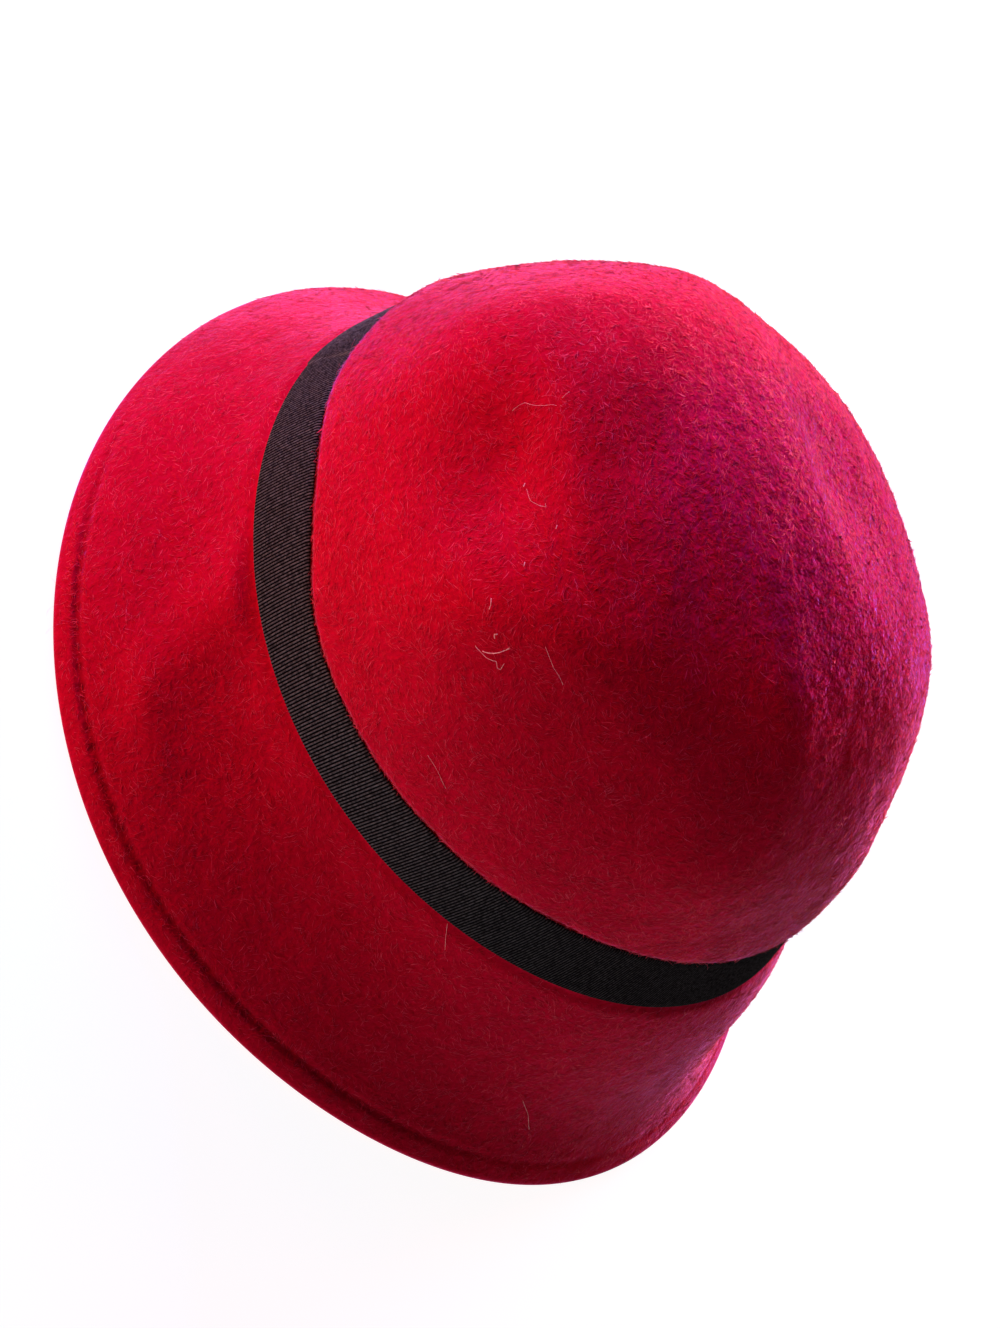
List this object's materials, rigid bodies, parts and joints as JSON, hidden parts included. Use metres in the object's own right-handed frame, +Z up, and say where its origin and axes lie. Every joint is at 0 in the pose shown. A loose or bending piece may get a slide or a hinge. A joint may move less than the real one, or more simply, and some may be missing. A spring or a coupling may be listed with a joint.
{
  "type": "cloche hat",
  "caption": "Felt cloche hat: a round crown and a bell brim moulded in one piece, with a stitched hem at the edge and a flat ribbon round the foot of the crown.",
  "frame": {"origin": "under the middle of the hat's outline from above, on the plane that the brim's edge rests on", "axes": "+Z up through the crown, -Y toward the front of the brim, +X toward the wearer's left"},
  "size_m": [0.2368, 0.2686, 0.1555],
  "materials": {
    "red_felt": "matt brushed wool felt with a short nap",
    "black_ribbon": "black ribbed ribbon, dull, with a little dust on its ribs",
    "red_thread": "matching sewing thread, dull",
    "pale_lint": "loose pale fibres"
  },
  "bodies": {
    "root": {"hat_body": "red_felt", "ribbon_band": "black_ribbon"}
  },
  "joints": []
}
